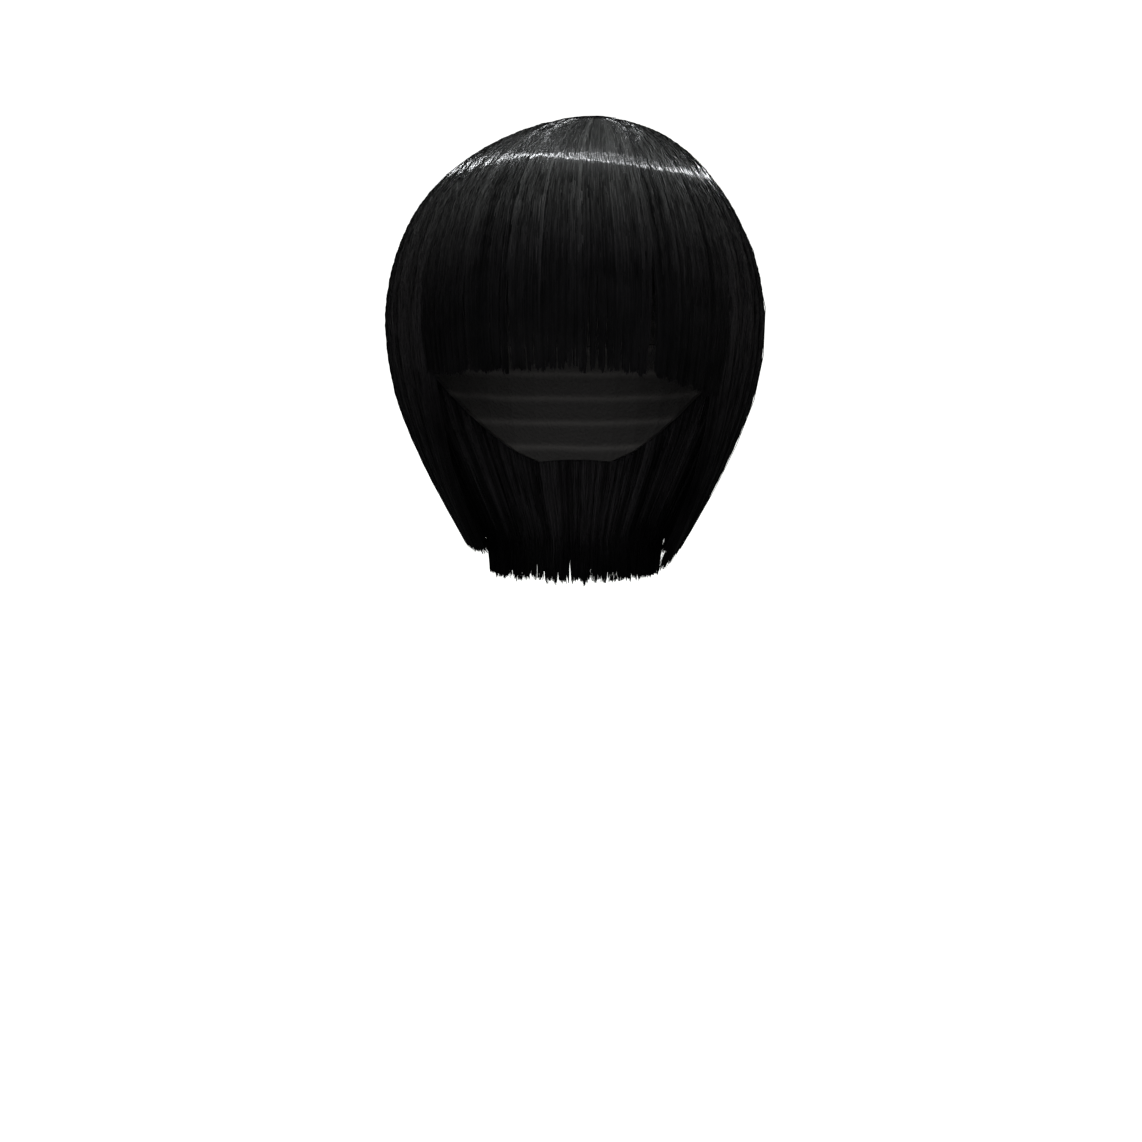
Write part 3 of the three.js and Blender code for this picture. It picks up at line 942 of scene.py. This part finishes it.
@dataclass(frozen=True)
class NetFinish:
    """Stretch net of the cap, with sewn rows that run round it."""

    name: str = "black_stretch_net"
    thread: Triple = (0.045, 0.044, 0.043)
    lit: Triple = (0.09, 0.087, 0.084)
    holes_a_metre: float = 1500.0
    rows_a_metre: float = 80.0

    def make(self) -> bpy.types.Material:
        """Make the material.

        Returns:
            The material.
        """
        material, tree, shader = new_material(self.name)
        group = add_node(tree, "Group")
        group.node_tree = FibreGroup.get()
        set_inputs(group, {"Dark": (*self.thread, 1.0), "Light": (*self.lit, 1.0)})
        set_inputs(group, {"Smoothest": 0.7, "Roughest": 0.9})
        place = add_node(tree, "TexCoord")
        net = add_node(tree, "TexVoronoi")
        net.feature = "DISTANCE_TO_EDGE"
        set_inputs(net, {"Scale": self.holes_a_metre / 4})
        rows = add_node(tree, "TexWave", {"Distortion": 0.6, "Detail": 1.0})
        rows.bands_direction = "Z"
        set_inputs(rows, {"Scale": self.rows_a_metre * math.pi / 10})
        ridge, height = add_node(tree, "Math", {1: 5.0}), add_node(tree, "Math")
        ridge.operation, height.operation = "POWER", "ADD"
        bump = add_node(tree, "Bump", {"Strength": 0.6, "Distance": 0.0012})
        join(
            tree,
            (place, "Object", net, "Vector"),
            (place, "Object", rows, "Vector"),
            (rows, "Fac", ridge, 0),
            (ridge, 0, group, "Tone"),
            (ridge, 0, height, 0),
            (net, "Distance", height, 1),
            (height, 0, bump, "Height"),
            (bump, "Normal", shader, "Normal"),
            (group, "Color", shader, "Base Color"),
            (group, "Roughness", shader, "Roughness"),
        )
        return material


@dataclass(frozen=True)
class Cap:
    """The panels of the cap under the hair, which keep their own solids."""

    panels: tuple[str, ...] = (
        "cap_top", "cap_front", "cap_side_left", "cap_side_right", "cap_back", "cap_nape",
    )

    def dress(self, frame: dict, finish: bpy.types.Material) -> None:
        """Give each panel the net.

        Args:
            frame: The loaded part.
            finish: The net.
        """
        for name in self.panels:
            piece = frame["nodes"][name]
            piece.data.materials.clear()
            piece.data.materials.append(finish)
            piece.data.polygons.foreach_set("use_smooth", np.ones(len(piece.data.polygons), bool))


@dataclass(frozen=True)
class PaperFinish:
    """Matt white paper of the studio floor."""

    name: str = "studio_paper"
    colour: Triple = (0.86, 0.86, 0.86)
    glow: float = 1.0

    def make(self) -> bpy.types.Material:
        """Make the material.

        Returns:
            The material.
        """
        material, tree, shader = new_material(self.name)
        noise = add_node(tree, "TexNoise", {"Scale": 60.0})
        mix = add_node(tree, "Mix")
        mix.data_type = "RGBA"
        set_inputs(mix, {"A": (*self.colour, 1.0), "B": (*(c * 0.99 for c in self.colour), 1.0)})
        join(tree, (noise, "Fac", mix, "Factor"), (mix, "Result", shader, "Base Color"))
        shader.inputs["Roughness"].default_value = 0.9
        shader.inputs["Emission Color"].default_value = (1.0, 1.0, 1.0, 1.0)
        shader.inputs["Emission Strength"].default_value = self.glow
        return material


@dataclass(frozen=True)
class SoftLight:
    """One rectangular soft light that points at the wig."""

    name: str
    place: Triple
    aim: Triple
    size: Pair
    power: float
    colour: Triple = (1.0, 1.0, 1.0)
    shines: bool = False
    length_along: Triple = (1.0, 0.0, 0.0)

    def build(self) -> bpy.types.Object:
        """Make the light, which shows in glossy surfaces only if it shines.

        Returns:
            The light.
        """
        data = bpy.data.lights.new(self.name, "AREA")
        data.shape = "RECTANGLE"
        data.size, data.size_y = self.size
        data.energy = self.power
        data.color = self.colour
        lamp = bpy.data.objects.new(self.name, data)
        bpy.context.scene.collection.objects.link(lamp)
        lamp.location = self.place
        lamp.visible_glossy = self.shines
        lamp.visible_camera = False
        away = unit(np.array(self.place) - np.array(self.aim))
        across = unit(np.cross(away, self.length_along))
        along = np.cross(across, away)
        lamp.rotation_euler = Matrix((along, across, away)).transposed().to_euler()
        return lamp


@dataclass(frozen=True)
class StripHoop:
    """A hoop of narrow strips over the wig, which puts one thin highlight round the crown.

    The eye, distance and width are in metres, the depth of the strands and the drops in millimetres.
    A strand shines where its direction is square to the light plus the view. The hoop runs where the view is
    mirrored by each strand as far down as the highlight in the photo, so it shows as one line.
    """

    form: WigForm
    eye: Triple
    steps: int = 6
    step_angle: float = 11.0
    distance: float = 1.1
    depth: float = 1.0
    width: float = 0.022
    power_a_metre: float = 2.1
    dimming: float = 0.35
    colour: Triple = (0.95, 0.97, 1.0)
    middle_drop: float = 22.0
    sway: float = 2.8
    sway_turns: float = 2.7
    sway_start: float = 8.5

    def drop(self, turn: float) -> float:
        """Distance of the highlight below the top of the head, least at the wearer's right."""
        return self.middle_drop + self.sway * math.sin(
            math.radians(self.sway_turns * (turn - self.sway_start))
        )

    def stand(self, turn: float) -> tuple[Array, Array]:
        """Find where the hoop passes for one strand.

        Args:
            turn: Angle of the strand round the head, in degrees.

        Returns:
            The place on the hoop and the point of the strand that shines.
        """
        top = self.form.cap_wall + self.form.hair_on_top - self.depth
        level = math.acos(1.0 - (top + self.drop(turn)) / (top + self.form.crown_height)) / (math.pi / 2)
        angles = math.radians(turn) + np.array((0.0, 0.0, SMALL_TURN))
        levels = level + np.array((0.0, SMALL_TURN, 0.0))
        point, below, beside = self.form.hair_point(angles, levels, np.full(3, self.depth)) / METRE
        outward = unit(np.cross(below - point, beside - point))
        seen = unit(np.array(self.eye) - point)
        light = 2.0 * float(seen @ outward) * outward - seen
        return point + light * self.distance, point

    def lights(self) -> list[SoftLight]:
        """Place the strips of the hoop.

        Returns:
            The strips, from the wearer's right to the left.
        """
        found = []
        for step in range(-self.steps, self.steps + 1):
            turn = step * self.step_angle
            first, last = (self.stand(turn + side * self.step_angle / 2)[0] for side in (-1, 1))
            place, point = self.stand(turn)
            run = last - first
            length = float(np.linalg.norm(run))
            fade = 1.0 - self.dimming * abs(step) / self.steps
            found.append(
                SoftLight(
                    f"strip_{step + self.steps}",
                    tuple(place),
                    tuple(point),
                    (length, self.width),
                    self.power_a_metre * fade * length,
                    self.colour,
                    shines=True,
                    length_along=tuple(run),
                )
            )
        return found


@dataclass
class Studio:
    """Camera, floor and lights."""

    distance: float = 1.3
    eye: Pair = (-0.0019, -0.2066)
    frame_width: float = 0.5425
    sensor: float = 36.0
    floor_level: float = -0.42
    lights: tuple[SoftLight, ...] = (
        SoftLight("top_softbox", (0.0, 0.3, 1.25), (0.0, 0.0, -0.05), (0.7, 0.4), 48.0, (0.92, 1.0, 0.89)),
        SoftLight("inner_fill", (0.0, -1.15, -0.25), (0.0, 0.0, -0.15), (0.7, 0.5), 6.0),
        SoftLight("left_rim", (-1.2, 0.3, 0.1), (0.0, 0.0, -0.1), (0.6, 0.9), 1.8, (1.0, 0.84, 0.68)),
        SoftLight("right_rim", (1.2, 0.3, 0.1), (0.0, 0.0, -0.1), (0.6, 0.9), 1.8, (1.0, 0.84, 0.68)),
        SoftLight("back_softbox", (0.0, 1.3, 0.5), (0.0, 0.0, -0.1), (0.8, 0.6), 5.0),
    )

    def build_camera(self) -> bpy.types.Object:
        """Make the camera at the height of the photo's middle.

        Returns:
            The camera.
        """
        data = bpy.data.cameras.new("camera")
        data.sensor_width = self.sensor
        data.lens = self.sensor * self.distance / self.frame_width
        camera = bpy.data.objects.new("camera", data)
        bpy.context.scene.collection.objects.link(camera)
        camera.location = (self.eye[0], -self.distance, self.eye[1])
        camera.rotation_euler = (math.pi / 2, 0.0, 0.0)
        bpy.context.scene.camera = camera
        return camera

    def build_floor(self) -> bpy.types.Object:
        """Make the floor, which curves up behind the wig.

        Returns:
            The floor.
        """
        near, flat, rise, bend, half, steps = -3.0, 1.6, 2.4, 0.8, 3.5, 12
        profile = [(near, 0.0), (flat, 0.0)]
        for step in range(1, steps + 1):
            turn = step / steps * math.pi / 2
            profile.append((flat + bend * math.sin(turn), bend * (1.0 - math.cos(turn))))
        profile.append((flat + bend, rise))
        points = [(x, y, self.floor_level + z) for x in (-half, half) for y, z in profile]
        count = len(profile)
        faces = [(i, i + count, i + count + 1, i + 1) for i in range(count - 1)]
        mesh = bpy.data.meshes.new("studio_floor")
        mesh.from_pydata(points, [], faces)
        mesh.update()
        floor = bpy.data.objects.new("studio_floor", mesh)
        bpy.context.scene.collection.objects.link(floor)
        floor.data.materials.append(PaperFinish().make())
        floor.visible_glossy = False
        floor.visible_diffuse = False
        return floor

    def build_world(self) -> None:
        """Make a pale surround that lights the wig only a little."""
        world = bpy.data.worlds.new("studio")
        bpy.context.scene.world = world
        world.use_nodes = True
        tree = world.node_tree
        shown = tree.nodes["Background"]
        set_inputs(shown, {"Color": (1.0, 1.0, 1.0, 1.0), "Strength": 1.0})
        faint = add_node(tree, "Background", {"Color": (0.95, 0.97, 1.0, 1.0), "Strength": 0.03})
        path, mix = add_node(tree, "LightPath"), add_node(tree, "MixShader")
        join(
            tree,
            (path, "Is Camera Ray", mix, "Fac"),
            (faint, "Background", mix, 1),
            (shown, "Background", mix, 2),
            (mix, "Shader", tree.nodes["World Output"], "Surface"),
        )

    def build(self) -> None:
        """Build the whole studio."""
        self.build_camera()
        self.build_floor()
        self.build_world()
        hoop = StripHoop(WigForm(), (self.eye[0], -self.distance, self.eye[1]))
        for light in (*self.lights, *hoop.lights()):
            light.build()
        bpy.context.scene.view_settings.view_transform = "Standard"


@dataclass
class Wig:
    """All the hair and the cap."""

    form: WigForm = field(default_factory=WigForm)
    temple: float = 50.0
    near_back: float = 118.0
    cheek_sweep: float = 19.0
    nape_sweep: float = 9.0
    nape_sweep_from: float = 1.78

    def tresses(self) -> list[Tress]:
        """List the tresses.

        Returns:
            The tresses, each with its own edges, hem and cut.
        """
        across = ("across", "longer")
        side_hem = Table(across, ((0.0, 0.036), (0.2, 0.008), (0.6, -0.015), (1.0, 0.0)))
        turned_hem = Table(across, ((0.0, 0.0), (0.4, -0.015), (0.75, -0.012), (1.0, 0.0)))
        fringe_hem = Table(
            across, ((0.0, 0.0), (0.3, 0.006), (0.5, 0.0), (0.7, 0.018), (0.88, 0.062), (1.0, 0.088))
        )
        fringe_slits = Table(
            ("across", "reach", "gap"),
            (
                (0.145, 34.0, 1.3), (0.174, 51.0, 2.6), (0.215, 12.0, 1.4), (0.263, 15.0, 0.9),
                (0.313, 42.0, 1.8), (0.453, 13.0, 0.8), (0.5, 10.0, 0.6), (0.535, 37.0, 1.4),
                (0.556, 49.0, 1.8), (0.581, 41.0, 1.5), (0.626, 22.0, 1.4), (0.658, 14.0, 0.9),
                (0.719, 52.0, 5.0), (0.763, 16.0, 1.1), (0.845, 10.0, 0.9), (0.874, 10.0, 0.9),
                (0.908, 9.0, 0.9),
            ),
        )
        back_hem = Table(across, ((0.0, 0.03), (0.5, 0.0), (1.0, 0.03)))
        nape_hem = Table(across, ((0.0, -0.02), (0.5, 0.0), (1.0, -0.02)))
        form = self.form
        near_back, far_back = Edge(self.near_back), Edge(360.0 - self.near_back)
        near_nape = Edge(self.near_back, -self.nape_sweep, self.nape_sweep_from)
        far_nape = Edge(360.0 - self.near_back, self.nape_sweep, self.nape_sweep_from)
        left_cheek = Edge(self.temple, self.cheek_sweep)
        right_cheek = Edge(360.0 - self.temple, -self.cheek_sweep)
        return [
            Tress(
                "fringe_strands", "fringe", form, Edge(-self.temple), Edge(self.temple),
                length=117.5, hem=fringe_hem, hem_wall=3.2, strands=3850, rings=9, locks=13, seed=11,
                cut=Cut.BLUNT, slits=fringe_slits, backing_foot=-0.05, groove=0.7,
            ),
            Tress(
                "side_strands_left", "side_hair_left", form, left_cheek, near_back,
                length=197.0, hem=side_hem, hem_wall=4.2, strands=3050, rings=11, locks=9, seed=23,
                cut=Cut.TAPERED, backing_foot=0.25,
            ),
            Tress(
                "side_strands_right", "side_hair_right", form, far_back, right_cheek,
                length=197.0, hem=turned_hem, hem_wall=4.2, strands=3050, rings=11, locks=9, seed=29,
                cut=Cut.TAPERED, backing_foot=0.25,
            ),
            Tress(
                "back_strands", "back_hair", form, near_back, far_back,
                length=186.0, hem=back_hem, hem_wall=4.6, strands=3050, rings=11, locks=15, seed=37,
                cut=Cut.TAPERED, backing_foot=-0.05, strand_radius=0.26,
            ),
            Tress(
                "nape_strands", "nape_hair", form, near_nape, far_nape,
                length=212.0, hem=nape_hem, hem_wall=4.0, strands=3200, rings=7, locks=9, seed=43,
                cut=Cut.SHORN, outer_inset=5.5, loosened=5.0, from_rim=True, strand_radius=0.27,
            ),
        ]

    def build(self, frame: dict) -> None:
        """Build and dress every piece.

        Args:
            frame: The loaded part.
        """
        fibre = HairFinish().make()
        for source in (*self.tresses(), Whorl(self.form)):
            piece = source.build()
            piece.data.materials.append(fibre)
            LOG.info("%s: %d faces", piece.name, len(piece.data.polygons))
        Cap().dress(frame, NetFinish().make())
        LOG.info("cap: net on the solids of its panels")


def main() -> None:
    """Load the part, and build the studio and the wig."""
    logging.basicConfig(level=logging.INFO, format="%(name)s: %(message)s")
    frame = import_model()
    Studio().build()
    Wig().build(frame)


if __name__ == "__main__":
    main()
